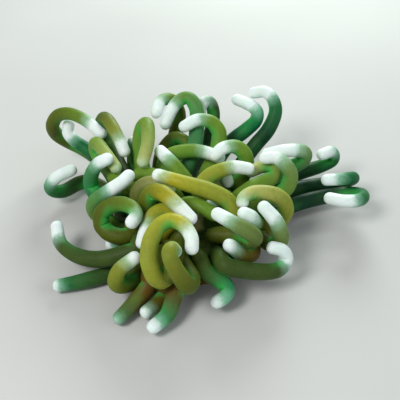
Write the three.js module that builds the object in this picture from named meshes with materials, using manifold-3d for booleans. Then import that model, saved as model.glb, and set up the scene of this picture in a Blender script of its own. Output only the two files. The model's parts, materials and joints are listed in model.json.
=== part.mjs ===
// A sea anemone at life size, in millimetres, +Z up, standing on its pedal disc with the sole's
// centre at the origin and the viewer on the -Y side. Pedal disc, column, oral disc and mouth are
// stacked up the middle. Long blunt tentacles grow from the oral disc in four rings. Every
// tentacle is a tapered finger, turned on a lathe and then bent along its own route; one with a
// long bend is parted into two lengths.
import * as THREE from "three";
import { mergeVertices } from "three/addons/utils/BufferGeometryUtils.js";
import Module from "manifold-3d";

const wasm = await Module();
wasm.setup();

// ---- Driving dimensions ----------------------------------------------------------------------
const FOOT_RADIUS = 22; // the pedal disc, flat on the ground
const FOOT_HEIGHT = 2.2;
const COLUMN_RADIUS = 18.5;
const COLUMN_TOP = 6;
const DISC_RADIUS = 25; // the oral disc, out to its rounded margin
const DISC_TOP = 15;
const MARGIN_HEIGHT = 10;
const MOUTH_RADIUS = 3.6;
const JOINT_GAP = 0.3; // between pieces that touch

const FINGER_RADIUS = 3.35; // a tentacle's shaft, out to its corners
const ROOT_RADIUS = 2.6; // where it leaves the crowded disc
const TIP_RADIUS = 2.55; // just before the rounded end
const FULL_SHARE = 0.22; // share of the length by which the shaft is at its full radius
const TAPER_SHARE = 0.5; // and from which it tapers
const FINGER_SIDES = 6;
const GROUND_CLEARANCE = 0.35; // under a tentacle that lies along the ground

// The rings that the tentacles grow from: distance from the axis, height, and how steeply a
// tentacle leaves the disc there.
const RINGS = {
  inner: { radius: 8.5, height: 14.8, pitch: 74 },
  middle: { radius: 14, height: 14.9, pitch: 58 },
  outer: { radius: 19.6, height: 13.9, pitch: 36 },
  margin: { radius: 24.4, height: MARGIN_HEIGHT, pitch: 4 },
};

// ---- The drawing board -----------------------------------------------------------------------
// Routes are laid out on a square board that leans back from the viewer. A waypoint is counted in
// board squares from the board's left and top edges, then comes its height above the ground in
// millimetres: the point lies where the line from the viewer's eye through that square meets
// that height.
const BOARD_SQUARE = 0.4;
const BOARD_MIDDLE = 200; // squares from an edge to the middle
const BOARD_LEAN = THREE.MathUtils.degToRad(40);
const EYE_DISTANCE = 311;
const board = {
  middle: new THREE.Vector3(2.4, 12, 15),
  across: new THREE.Vector3(1, 0, 0),
  up: new THREE.Vector3(0, Math.sin(BOARD_LEAN), Math.cos(BOARD_LEAN)),
  away: new THREE.Vector3(0, Math.cos(BOARD_LEAN), -Math.sin(BOARD_LEAN)),
};
const eye = board.middle.clone().addScaledVector(board.away, -EYE_DISTANCE);

function waypoint([squaresRight, squaresDown, height]) {
  const sight = board.middle
    .clone()
    .addScaledVector(board.across, (squaresRight - BOARD_MIDDLE) * BOARD_SQUARE)
    .addScaledVector(board.up, (BOARD_MIDDLE - squaresDown) * BOARD_SQUARE)
    .sub(eye);
  return eye.clone().addScaledVector(sight, (height - eye.z) / sight.z);
}

// ---- The tentacles ---------------------------------------------------------------------------
// Each has the ring and bearing it grows from (degrees, 0 to the right and 90 to the back), its
// waypoints out to the tip, and, where it is parted, the share of its length where the cut is.
const TENTACLES = [
  // front left, lying out over the ground
  {
    root: ["outer", 205],
    way: [
      [133, 250, 12.5], [114, 255, 11], [95, 259, 9],
      [75, 254, 8.5], [61, 243, 10], [57, 225, 14],
    ],
  },
  {
    root: ["margin", 207],
    way: [[124, 266, 5], [104, 274, 4.5], [80, 282, 4], [57, 286, 4]],
  },
  {
    root: ["margin", 221],
    way: [
      [139, 277, 7], [127, 283.5, 7], [117.5, 281.5, 11],
      [119, 272, 14], [128, 262, 16], [138, 255, 17],
    ],
  },
  {
    root: ["margin", 236],
    way: [[153, 285, 7], [144, 297.5, 5], [132, 309, 4], [119, 320, 4]],
  },
  {
    root: ["margin", 252],
    way: [[163, 289, 5], [155, 301, 4], [142.5, 309, 4.5]],
  },
  {
    root: ["margin", 268],
    way: [[176, 285, 8], [174, 292, 7], [172, 302, 6], [166, 315, 4.5], [152, 327, 4]],
  },
  {
    root: ["outer", 240],
    way: [
      [173, 271, 13.5], [169, 281, 13], [160, 277.5, 16], [153.5, 268, 19.5],
      [150.5, 255, 23], [152, 240, 26.5], [160, 225.5, 29.5], [172.5, 220.3, 31],
      [184.5, 226, 31], [191.5, 238, 29.5], [191.5, 250, 26.5],
    ],
    cut: 0.5,
  },
  {
    root: ["outer", 257],
    way: [
      [190.5, 276, 16], [187, 284, 19], [180.5, 274, 23], [171.5, 260, 27],
      [168.3, 250.5, 29.5], [171, 246, 27.5], [175.5, 250.5, 23.5],
    ],
  },
  {
    root: ["outer", 273],
    way: [[207, 268, 14], [220, 277, 12], [229, 286, 10], [226, 296, 8], [216, 302, 7]],
  },
  {
    root: ["middle", 228],
    way: [
      [176, 222, 22], [168.5, 212, 23.5], [158, 215, 22.5],
      [150, 225.5, 20], [145, 237.5, 17.5], [143, 244, 15.5],
    ],
  },
  // front right
  {
    root: ["outer", 291],
    way: [
      [222, 265, 16], [240, 268, 13], [260, 270.5, 11], [279, 268, 10],
      [286.5, 258, 12], [282, 249.5, 16], [270, 246.5, 18],
    ],
    cut: 0.5,
  },
  {
    root: ["middle", 294],
    way: [
      [224, 240, 19], [238, 243.5, 19], [249, 247, 20], [254, 243, 23],
      [250, 236.5, 26.5], [240, 228.5, 29.5], [229, 221.5, 31], [216, 213.5, 32],
    ],
    cut: 0.5,
  },
  {
    root: ["outer", 350],
    way: [[252, 229, 17.5], [247, 219.5, 22], [238.5, 214, 24.5]],
  },
  {
    root: ["margin", 346],
    way: [
      [263, 240, 11], [275, 247, 12], [280, 238, 17],
      [277, 225, 22], [270, 214, 25], [261, 205, 27],
    ],
  },
  {
    root: ["margin", 2],
    way: [
      [272, 224, 9], [281, 219, 13], [285, 209, 19], [282.5, 201, 24], [275, 195.5, 28],
      [262, 193.5, 29.5], [250, 195.5, 29], [243.5, 201, 27.5], [242.3, 208, 25.5],
    ],
    cut: 0.45,
  },
  {
    root: ["margin", 17],
    way: [
      [293, 205, 7], [322, 197, 8], [345, 194, 9], [361, 195, 12],
      [359, 200, 16], [345, 201, 17], [328, 198, 16],
    ],
    cut: 0.6,
  },
  {
    root: ["margin", 31],
    way: [
      [276, 196, 7], [300, 188, 7], [328, 184, 8], [346, 181, 10],
      [353, 178, 14], [343, 179, 17], [325, 180, 17],
    ],
    cut: 0.6,
  },
  {
    root: ["margin", 45],
    way: [
      [262, 189, 9], [290, 176, 9], [316, 168, 10],
      [333, 160, 14], [332, 152, 19], [321, 155, 20],
    ],
  },
  {
    root: ["outer", 34],
    way: [
      [250, 190, 16], [270, 179, 15], [290, 168, 16], [302.5, 161, 20],
      [305.5, 153, 25], [296, 149.8, 28], [281, 151, 29], [265, 154.5, 28],
    ],
    cut: 0.5,
  },
  {
    root: ["outer", 14],
    way: [
      [262, 200, 15], [276, 193, 16], [285, 186, 19], [288.5, 174, 24],
      [282.5, 163.5, 28], [273.5, 158, 29], [262, 159.5, 28],
    ],
    cut: 0.5,
  },
  {
    root: ["middle", 20],
    way: [
      [252, 190, 19], [270, 182, 20], [279, 173, 23],
      [272, 166, 25], [261, 168, 25], [251, 172, 25],
    ],
  },
  // back right
  {
    root: ["margin", 60],
    way: [
      [238, 170, 12], [249, 152, 17], [262, 138, 22], [271, 124, 28],
      [275.5, 107, 34], [267, 92.8, 38], [252.5, 93, 36],
    ],
  },
  {
    root: ["margin", 74],
    way: [
      [216, 164, 13], [228, 145, 18], [242, 133, 22], [255, 123, 27],
      [258, 112, 32], [249, 104, 34], [236, 99, 34],
    ],
  },
  {
    root: ["outer", 56],
    way: [
      [238, 185, 18], [246, 172, 22], [246.8, 160, 26], [242.5, 151.5, 29.5],
      [233, 146.8, 31], [222.5, 149, 30.5], [213.5, 157, 28],
    ],
  },
  {
    root: ["inner", 40],
    way: [[200, 196, 26], [208, 179, 29], [222, 171, 31], [237, 167, 31], [250, 169, 29]],
  },
  {
    root: ["outer", 80],
    way: [
      [212, 165, 20], [218, 146, 25], [218, 130, 30],
      [208, 121, 33], [195, 121, 33], [183, 128, 31],
    ],
    cut: 0.5,
  },
  {
    root: ["margin", 89],
    way: [
      [204, 158, 14], [210, 137, 20], [213, 118, 26], [212.5, 105, 31.5],
      [208, 96.5, 36], [202.5, 101, 34.5], [200.5, 112, 29.5],
    ],
  },
  // back left
  {
    root: ["outer", 104],
    way: [
      [192, 158, 20], [196, 133, 25], [197, 111, 31], [189, 98, 35],
      [178, 101, 34], [170, 113, 31], [164, 125, 28],
    ],
    cut: 0.5,
  },
  {
    root: ["margin", 104],
    way: [
      [173, 160, 15], [175, 134, 22], [179, 113, 28],
      [172, 100, 33], [162, 101, 34], [157, 115, 31],
    ],
  },
  {
    root: ["middle", 127],
    way: [
      [163, 176, 20], [166, 160, 25], [181, 152, 28],
      [200, 151, 29], [212, 154, 29], [221, 158, 27],
    ],
  },
  {
    root: ["outer", 128],
    way: [
      [146, 177, 19], [141, 150, 25], [142, 130, 32], [147, 122, 36],
      [149, 138, 35], [147, 153, 32], [143, 164, 30],
    ],
  },
  {
    root: ["outer", 150],
    way: [
      [128, 184, 17], [113, 152, 22], [101, 130, 28], [102, 117, 33],
      [112, 127, 34], [120, 142, 31], [125, 153, 28],
    ],
  },
  {
    root: ["margin", 144],
    way: [
      [111, 169, 8], [80, 147, 9], [60, 137, 15], [53.5, 126, 23],
      [61, 115, 30], [77, 115.5, 33], [92, 124.5, 31.5], [103, 134.5, 29],
    ],
    cut: 0.55,
  },
  {
    root: ["margin", 157],
    way: [[114, 177, 13], [97, 157.5, 16], [80.5, 144.5, 19.5], [67, 134, 24], [67, 122, 28]],
  },
  {
    root: ["middle", 150],
    way: [
      [128, 192, 20], [110, 168, 20], [98, 152, 21.5],
      [97, 143, 26], [105, 152, 28], [117, 169, 26],
    ],
  },
  {
    root: ["margin", 169],
    way: [
      [119, 201, 7.5], [106, 190, 7], [95, 183, 7], [84, 181.5, 7], [72, 186.5, 6.5],
      [59, 192, 7.5], [50.5, 188, 11], [55, 178.5, 16], [73, 169.5, 19],
    ],
    cut: 0.55,
  },
  // left
  {
    root: ["outer", 167],
    way: [
      [116, 207, 16], [98, 200, 17], [91, 187, 20],
      [92, 175, 25], [98.5, 165, 29], [110, 159, 32],
    ],
  },
  {
    root: ["margin", 181],
    way: [
      [112, 217, 8], [101, 210, 13], [96, 203, 19], [101, 198, 24],
      [112, 190, 28], [123, 182, 31], [130.5, 174.5, 32],
    ],
    cut: 0.45,
  },
  {
    root: ["outer", 188],
    way: [
      [137, 237, 15], [124, 238.5, 14.5], [112, 234, 15], [103.5, 224.5, 17],
      [103, 213, 20.5], [111.5, 205, 23.5], [123, 203.5, 26.5], [133, 207.5, 28],
      [136.5, 215.5, 28], [131, 223.5, 27],
    ],
    cut: 0.45,
  },
  // over the middle
  {
    root: ["middle", 342],
    way: [
      [238, 214, 24], [229, 202, 27], [210, 192, 30],
      [190, 185, 33], [172, 180, 34], [157, 175, 34],
    ],
  },
  {
    root: ["middle", 193],
    way: [
      [147, 213, 20], [146.5, 201, 26], [151, 193, 30], [159, 191.5, 33.5],
      [168.5, 197.5, 35], [180, 208, 34], [192, 220, 31],
    ],
    cut: 0.5,
  },
];

// The short young tentacles, which stay joined to the oral disc.
const YOUNG_TENTACLES = [
  {
    root: ["middle", 250],
    way: [[174, 268, 17], [170, 280, 15]],
  },
  {
    root: ["outer", 332],
    way: [[249, 245, 13.5], [248.5, 252, 14], [239, 253, 17], [230, 250.5, 19], [222.5, 249.5, 20]],
  },
  {
    root: ["middle", 56],
    way: [[213, 186, 21], [214, 174, 22], [220, 170, 22], [224, 184, 19]],
  },
  {
    root: ["middle", 97],
    way: [[190, 186, 21], [180, 173, 26], [169, 160, 30], [159, 150, 32]],
  },
  {
    root: ["margin", 118],
    way: [[160, 166, 14], [165, 149, 19], [175, 138, 23], [186, 141, 24], [191, 154, 21]],
  },
  {
    root: ["margin", 131],
    way: [[141, 180, 13], [134, 164, 18], [133, 150, 25], [133, 139, 30]],
  },
  {
    root: ["margin", 193],
    way: [[119, 241.5, 9], [113, 241.5, 8.5]],
  },
  {
    root: ["middle", 171],
    way: [[141, 205, 20], [138, 193, 24], [146, 185, 27], [159, 184, 28], [171, 191, 27]],
  },
  {
    root: ["inner", 130],
    way: [[172, 192, 22], [160, 178, 25], [147, 174, 26], [137, 174.5, 25]],
  },
  {
    root: ["inner", 190],
    way: [[176, 211, 23], [187, 205, 26], [202, 208, 27], [216, 217, 25]],
  },
  {
    root: ["inner", 345],
    way: [[217, 213, 21], [210, 203, 23]],
  },
];

// ---- Trunk shapes ----------------------------------------------------------------------------
// Half-sections of the trunk, each a list of [distance from axis, height], from the axis round
// to the axis again.
const footSection = [
  [0, 0],
  [FOOT_RADIUS - 0.8, 0],
  [FOOT_RADIUS, 0.7],
  [FOOT_RADIUS - 1.2, 1.7],
  [COLUMN_RADIUS + 0.6, FOOT_HEIGHT],
  [0, FOOT_HEIGHT],
];
const columnSection = [
  [0, FOOT_HEIGHT + JOINT_GAP],
  [COLUMN_RADIUS, FOOT_HEIGHT + JOINT_GAP],
  [COLUMN_RADIUS - 0.5, 4],
  [COLUMN_RADIUS + 0.8, COLUMN_TOP],
  [0, COLUMN_TOP],
];
const discSection = [
  [0, COLUMN_TOP + JOINT_GAP],
  [COLUMN_RADIUS + 1, COLUMN_TOP + JOINT_GAP],
  [DISC_RADIUS - 1.7, 7.4],
  [DISC_RADIUS, MARGIN_HEIGHT],
  [DISC_RADIUS - 1.4, 12.4],
  [20.5, 14],
  [14, DISC_TOP],
  [6, DISC_TOP - 0.3],
  [MOUTH_RADIUS + 1, DISC_TOP - 1.2],
  [0, DISC_TOP - 1.4],
];
const mouthSection = [
  [0, DISC_TOP - 1.4 + JOINT_GAP],
  [MOUTH_RADIUS, DISC_TOP - 1.25 + JOINT_GAP],
  [MOUTH_RADIUS + 0.2, DISC_TOP - 0.1],
  [MOUTH_RADIUS - 0.9, DISC_TOP + 0.7],
  [MOUTH_RADIUS - 2.2, DISC_TOP + 0.2],
  [0, DISC_TOP - 0.6],
];

function turned(section, sides) {
  const points = section.map(([x, y]) => new THREE.Vector2(x, y));
  return new THREE.LatheGeometry(points, sides).rotateX(Math.PI / 2);
}

// ---- Routes ----------------------------------------------------------------------------------
const ROUTE_STEP = 1.9; // between the samples of a route, about
const FEWEST_SAMPLES = 8;
const ROOT_STEPS = [-2.5, 0.5, 4]; // straight out of the disc, in mm from its surface
const TIP_REACH = 1.7; // from the last waypoint on to the tip

// The route of one tentacle as evenly spaced points, from inside the disc out to the tip.
function rawRoute({ root: [ringName, bearing], way }) {
  const ring = RINGS[ringName];
  const turn = THREE.MathUtils.degToRad(bearing);
  const rise = THREE.MathUtils.degToRad(ring.pitch);
  const outward = new THREE.Vector3(Math.cos(turn), Math.sin(turn), 0);
  const leaving = outward.clone().multiplyScalar(Math.cos(rise));
  leaving.z = Math.sin(rise);
  const foot = outward.clone().multiplyScalar(ring.radius);
  foot.z = ring.height;
  const start = ROOT_STEPS.map((step) => foot.clone().addScaledVector(leaving, step));
  const points = [...start, ...way.map(waypoint)];
  const onward = points.at(-1).clone().sub(points.at(-2)).setLength(TIP_REACH);
  points.push(points.at(-1).clone().add(onward));
  const curve = new THREE.CatmullRomCurve3(points, false, "centripetal");
  const steps = Math.max(FEWEST_SAMPLES, Math.round(curve.getLength() / ROUTE_STEP));
  return curve.getSpacedPoints(steps);
}

const ease = (t) => THREE.MathUtils.smoothstep(t, 0, 1);

// The shaft's radius at a share of its length, without the rounded end.
function shaftRadius(share) {
  const swell = (FINGER_RADIUS - ROOT_RADIUS) * ease(share / FULL_SHARE);
  const taper = (FINGER_RADIUS - TIP_RADIUS) * ease((share - TAPER_SHARE) / (1 - TAPER_SHARE));
  return ROOT_RADIUS + swell - taper;
}

// How far a point is outside the trunk, and which way is out, from the trunk's half-section.
const trunkOutline = [footSection, columnSection, discSection, mouthSection].flatMap((section) =>
  section.filter(([radius]) => radius > 0),
);
function awayFromTrunk(point) {
  const radius = Math.hypot(point.x, point.y);
  let nearest = Infinity;
  let out = [0, 1];
  for (let i = 1; i < trunkOutline.length; i++) {
    const [ax, az] = trunkOutline[i - 1];
    const [bx, bz] = trunkOutline[i];
    const [dx, dz] = [bx - ax, bz - az];
    const t = THREE.MathUtils.clamp(((radius - ax) * dx + (point.z - az) * dz) / (dx * dx + dz * dz), 0, 1);
    const [ox, oz] = [radius - ax - dx * t, point.z - az - dz * t];
    const distance = Math.hypot(ox, oz);
    if (distance >= Math.abs(nearest)) continue;
    const outside = ox * dz - oz * dx > 0 ? 1 : -1;
    nearest = outside * distance;
    out = distance > 1e-6 ? [(outside * ox) / distance, (outside * oz) / distance] : [dz, -dx];
  }
  const flat = radius > 1e-6 ? out[0] / radius : 0;
  return { distance: nearest, out: new THREE.Vector3(point.x * flat, point.y * flat, out[1]) };
}

// Tentacles that would lie in each other press each other aside, and lift off the trunk and the
// ground, a little at a time, while each one keeps its length and bends no tighter than flesh can.
const SETTLE_ROUNDS = 260;
const FIRM_ROUNDS = 100; // the last ones, in which nothing drifts back
const DRIFT_BACK = 0.18; // share of its move across the board that each sample loses in a round
const DEEP_DRIFT_BACK = 0; // and of its move before or behind
const SETTLE_GAP = 0.42; // between their skins
const GIVE_ASIDE = 0.25; // how readily they give way across the board, against before and behind
const EVEN_OUT = 0.3; // how far each sample's move is drawn towards its neighbours' moves
const NEAR_LENGTH = 10.5; // along one tentacle, too near each other to press
const TIGHTEST_BEND = 1.1; // a bend's least radius, in radii of the shaft
const BEND_FIRMNESS = 0.3; // share of a too tight bend that is eased in a round
const STRETCH = 0.2; // share by which flesh lengthens or shortens
const FIXED_SAMPLES = 1; // inside the disc
const ROOTED_SAMPLES = 3; // which may lie in the trunk

// Draws two neighbours of a chain back towards their distance apart.
function keepSpacing({ now, spacing }, k) {
  const apart = now[k + 1].clone().sub(now[k]);
  const distance = apart.length();
  const wanted = THREE.MathUtils.clamp(distance, spacing * (1 - STRETCH), spacing * (1 + STRETCH));
  apart.multiplyScalar((0.5 * (distance - wanted)) / distance);
  if (k >= FIXED_SAMPLES) now[k].add(apart);
  now[k + 1].sub(apart);
}

// Opens a bend that is too tight at one sample of a chain.
function easeBend({ now, radii }, k) {
  const middle = now[k - 1].clone().lerp(now[k + 1], 0.5);
  const step = now[k - 1].distanceTo(now[k + 1]) / 2;
  const most = (step * step) / (2 * TIGHTEST_BEND * radii[k]);
  const bulge = now[k].distanceTo(middle);
  if (bulge <= most) return;
  now[k].lerp(middle, BEND_FIRMNESS * (1 - most / bulge));
}

function settle(routes) {
  const chains = routes.map((route) => {
    const radii = route.map((_, k) => shaftRadius(k / (route.length - 1)));
    const spacing = route[0].distanceTo(route[1]);
    const near = Math.ceil(NEAR_LENGTH / spacing);
    return { rest: route, now: route.map((p) => p.clone()), radii, spacing, near };
  });
  const apart = new THREE.Vector3();
  const aside = new THREE.Vector3();
  const press = (a, i, b, j, least) => {
    apart.subVectors(a.now[i], b.now[j]);
    const distance = apart.length();
    if (distance >= least || distance < 1e-6) return;
    apart.divideScalar(distance);
    aside.copy(apart).addScaledVector(board.away, -apart.dot(board.away));
    aside.multiplyScalar(GIVE_ASIDE).addScaledVector(board.away, apart.dot(board.away)).normalize();
    aside.multiplyScalar((0.5 * (least - distance)) / aside.dot(apart));
    if (i >= FIXED_SAMPLES) a.now[i].add(aside);
    if (j >= FIXED_SAMPLES) b.now[j].sub(aside);
  };
  for (let round = 0; round < SETTLE_ROUNDS; round++) {
    for (let m = 0; m < chains.length; m++) {
      const a = chains[m];
      for (let i = 0; i < a.now.length; i++) {
        for (let j = i + a.near; j < a.now.length; j++) {
          press(a, i, a, j, a.radii[i] + a.radii[j] + SETTLE_GAP);
        }
      }
      for (let n = m + 1; n < chains.length; n++) {
        const b = chains[n];
        for (let i = 0; i < a.now.length; i++) {
          for (let j = 0; j < b.now.length; j++) {
            const least = a.radii[i] + b.radii[j] + SETTLE_GAP;
            if (Math.abs(a.now[i].x - b.now[j].x) < least) press(a, i, b, j, least);
          }
        }
      }
    }
    for (const chain of chains) {
      const { rest, now, radii } = chain;
      const end = now.length - 1;
      for (let k = ROOTED_SAMPLES; k <= end; k++) {
        const { distance, out } = awayFromTrunk(now[k]);
        const least = radii[k] + SETTLE_GAP;
        if (distance < least) now[k].addScaledVector(out, least - distance);
        now[k].z = Math.max(now[k].z, radii[k] + GROUND_CLEARANCE);
      }
      const moved = now.map((p, k) => p.clone().sub(rest[k]));
      for (let k = FIXED_SAMPLES; k <= end; k++) {
        const next = moved[Math.min(k + 1, end)];
        const even = moved[k - 1].clone().add(next).multiplyScalar(0.5);
        const move = moved[k].lerp(even, EVEN_OUT);
        if (round < SETTLE_ROUNDS - FIRM_ROUNDS) {
          const deep = move.dot(board.away);
          move.multiplyScalar(1 - DRIFT_BACK).addScaledVector(board.away, deep * (DRIFT_BACK - DEEP_DRIFT_BACK));
        }
        now[k].copy(rest[k]).add(move);
      }
      for (let k = FIXED_SAMPLES; k < end; k++) easeBend(chain, k);
      for (let k = 0; k < end; k++) keepSpacing(chain, k);
    }
  }
  return chains.map(({ now }) => now);
}

// ---- Fingers ---------------------------------------------------------------------------------
const CAP_TURN = THREE.MathUtils.degToRad(45); // the rounded end's ring, round from the tip
const RING_LENGTH = 18; // between the rings of a straight stretch
const RING_BEND = THREE.MathUtils.degToRad(57); // between the rings of a bend
const FEWEST_RINGS = 5;
const RING_CLEARANCE = 0.02; // share of the length, between a ring and a cut end
const INNER_REACH = 0.7; // of the inside of a bend, as a share of the bend's radius
const FINE_STEPS = 160; // along a route, to measure its bends

// Shares of the length where a bent finger needs a ring: evenly by length and by bend together.
function ringShares(curve) {
  const stepLength = curve.getLength() / FINE_STEPS;
  const reach = [0];
  let before = curve.getTangentAt(0);
  for (let i = 1; i <= FINE_STEPS; i++) {
    const tangent = curve.getTangentAt(i / FINE_STEPS);
    reach.push(reach[i - 1] + stepLength / RING_LENGTH + before.angleTo(tangent) / RING_BEND);
    before = tangent;
  }
  const rings = Math.max(FEWEST_RINGS, Math.round(reach[FINE_STEPS]));
  const shares = [];
  for (let r = 1; r < rings; r++) {
    const wanted = (reach[FINE_STEPS] * r) / rings;
    const i = reach.findIndex((value) => value >= wanted);
    shares.push((i - (reach[i] - wanted) / (reach[i] - reach[i - 1])) / FINE_STEPS);
  }
  return shares;
}

// How a route turns between each ring and the next, by each millimetre between them.
function turnsBetween(curve, rings) {
  const turns = [];
  for (let r = 1; r < rings.length; r++) {
    const turn = curve.getTangentAt(rings[r]).sub(curve.getTangentAt(rings[r - 1]));
    const distance = curve.getPointAt(rings[r]).distanceTo(curve.getPointAt(rings[r - 1]));
    turns.push(turn.divideScalar(distance));
  }
  return turns;
}

// One length of a tentacle, from one share of its route to another. The lathe turns it straight
// up the Y axis, one unit tall, and each of its points is then carried to the route, where the
// inside of a tight bend is pinched, so that it doesn't fold into itself.
function fingerLength(curve, shares, from, to) {
  const capShare = TIP_RADIUS / curve.getLength();
  const last = to === 1 ? 1 - capShare : to;
  const between = shares.filter((s) => s > from + RING_CLEARANCE && s < last - RING_CLEARANCE);
  const profile = [from, ...between, last].map((s) => new THREE.Vector2(shaftRadius(s), s));
  profile.unshift(new THREE.Vector2(0, from));
  if (to === 1) {
    const capRing = 1 - capShare * (1 - Math.cos(CAP_TURN));
    profile.push(new THREE.Vector2(TIP_RADIUS * Math.sin(CAP_TURN), capRing));
  }
  profile.push(new THREE.Vector2(0, to));
  const turns = turnsBetween(curve, [from, ...between, last]);
  const frames = curve.computeFrenetFrames(FINE_STEPS, false);
  const geometry = new THREE.LatheGeometry(profile, FINGER_SIDES);
  const place = geometry.getAttribute("position");
  for (let i = 0; i < place.count; i++) {
    const share = place.getY(i);
    const k = Math.round(share * FINE_STEPS);
    const reach = frames.normals[k].clone().multiplyScalar(place.getX(i));
    reach.addScaledVector(frames.binormals[k], -place.getZ(i));
    const ring = (i % profile.length) - 1;
    for (const turn of turns.slice(Math.max(ring - 1, 0), ring + 1)) {
      const folded = turn.dot(reach) / INNER_REACH;
      if (folded > 1) reach.divideScalar(folded);
    }
    const point = curve.getPointAt(share).add(reach);
    place.setXYZ(i, point.x, point.y, point.z);
  }
  return geometry;
}

// ---- Solids ----------------------------------------------------------------------------------
function solid(geometry) {
  const bare = geometry.clone();
  bare.deleteAttribute("normal");
  bare.deleteAttribute("uv");
  const merged = mergeVertices(bare, 1e-4);
  const mesh = new wasm.Mesh({
    numProp: 3,
    vertProperties: new Float32Array(merged.getAttribute("position").array),
    triVerts: new Uint32Array(merged.index.array),
  });
  return new wasm.Manifold(mesh);
}

function geometryOf(manifold) {
  const mesh = manifold.getMesh();
  const geometry = new THREE.BufferGeometry();
  geometry.setAttribute("position", new THREE.BufferAttribute(new Float32Array(mesh.vertProperties), 3));
  geometry.setIndex(new THREE.BufferAttribute(new Uint32Array(mesh.triVerts), 1));
  return geometry;
}

// ---- Materials -------------------------------------------------------------------------------
const flesh = (color, roughness) => new THREE.MeshStandardMaterial({ color, roughness, metalness: 0 });
const trunkFlesh = flesh(0x7a6a34, 0.6);
const discFlesh = flesh(0x5c6e2a, 0.55);
const mouthFlesh = flesh(0xa9ad5e, 0.5);
const shaftFlesh = flesh(0x6f9240, 0.45);
const tipFlesh = flesh(0xdfeee6, 0.45);

// ---- Assembly --------------------------------------------------------------------------------
const anemone = new THREE.Group();
anemone.name = "sea_anemone";

function add(name, geometry, material) {
  const mesh = new THREE.Mesh(geometry, material);
  mesh.name = name;
  anemone.add(mesh);
}

const TRUNK_SIDES = 30;
add("pedal_disc", turned(footSection, TRUNK_SIDES), trunkFlesh);
add("column", turned(columnSection, TRUNK_SIDES), trunkFlesh);
add("mouth", turned(mouthSection, 18), mouthFlesh);

const curves = settle([...TENTACLES, ...YOUNG_TENTACLES].map(rawRoute)).map(
  (route) => new THREE.CatmullRomCurve3(route, false, "centripetal"),
);

// The oral disc carries the young tentacles.
let disc = solid(turned(discSection, TRUNK_SIDES));
for (const curve of curves.slice(TENTACLES.length)) {
  disc = disc.add(solid(fingerLength(curve, ringShares(curve), 0, 1)));
}
add("oral_disc", geometryOf(disc), discFlesh);

// The others stop just short of the disc, so their roots are cut by a slightly larger one.
const grownSection = discSection.map(([radius, height]) => [
  radius === 0 ? 0 : radius + JOINT_GAP,
  height > MARGIN_HEIGHT ? height + JOINT_GAP : height,
]);
const discCutter = solid(turned(grownSection, TRUNK_SIDES));
TENTACLES.forEach(({ cut }, index) => {
  const name = `tentacle_${String(index + 1).padStart(2, "0")}`;
  const curve = curves[index];
  const shares = ringShares(curve);
  const rooted = (to) => geometryOf(solid(fingerLength(curve, shares, 0, to)).subtract(discCutter));
  if (!cut) {
    add(name, rooted(1), shaftFlesh);
    return;
  }
  const halfGap = JOINT_GAP / 2 / curve.getLength();
  add(`${name}_shaft`, rooted(cut - halfGap), shaftFlesh);
  add(`${name}_tip`, fingerLength(curve, shares, cut + halfGap, 1), tipFlesh);
});

export default anemone;
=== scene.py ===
"""A sea anemone, dressed around its fixed solid model: one living skin over trunk and tentacles,
warts on the column, a pale floor, lights and a camera."""

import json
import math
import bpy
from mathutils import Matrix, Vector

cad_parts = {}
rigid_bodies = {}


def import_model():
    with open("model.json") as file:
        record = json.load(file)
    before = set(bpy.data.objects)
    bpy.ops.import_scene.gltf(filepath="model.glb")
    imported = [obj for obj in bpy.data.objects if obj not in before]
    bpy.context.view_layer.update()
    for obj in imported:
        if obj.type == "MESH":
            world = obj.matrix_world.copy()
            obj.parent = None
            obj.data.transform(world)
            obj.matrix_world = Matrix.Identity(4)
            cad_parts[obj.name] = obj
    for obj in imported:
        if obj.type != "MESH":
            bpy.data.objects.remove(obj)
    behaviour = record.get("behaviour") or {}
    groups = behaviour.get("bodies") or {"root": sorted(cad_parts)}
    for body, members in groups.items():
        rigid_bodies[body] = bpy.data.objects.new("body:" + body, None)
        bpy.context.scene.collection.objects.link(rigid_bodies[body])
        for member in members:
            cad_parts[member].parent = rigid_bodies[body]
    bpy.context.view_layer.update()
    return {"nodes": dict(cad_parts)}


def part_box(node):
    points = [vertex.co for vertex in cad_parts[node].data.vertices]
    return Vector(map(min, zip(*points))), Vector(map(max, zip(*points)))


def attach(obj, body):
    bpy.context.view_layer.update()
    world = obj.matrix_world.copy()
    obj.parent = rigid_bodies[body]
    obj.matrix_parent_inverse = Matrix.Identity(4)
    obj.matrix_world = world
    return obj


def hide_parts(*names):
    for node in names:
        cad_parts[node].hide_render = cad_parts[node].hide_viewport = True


bl_info = {
    "name": "Sea anemone",
    "version": (1, 0, 0),
    "blender": (4, 5, 0),
    "location": "View3D > Sidebar > Anemone",
    "description": "Grows the skin of a sea anemone over its solid model and sets its stage",
    "category": "Mesh",
}

import bpy
import numpy as np
from mathutils import Vector, kdtree

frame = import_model()

MM = 0.001
BODY = "root"
FINGER_CORNERS = 6  # the solid tentacles are six-sided fingers
TENTACLE_COUNT = 52
CORNER_TO_SKIN = 0.955  # the skin's radius, as a share of a finger's radius at its corners
SAME_PLACE = 0.001 * MM  # corners closer than this are one
ROUNDED_SHARE = 0.85  # a rounded tip's first ring is smaller than this share of the next one


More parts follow.
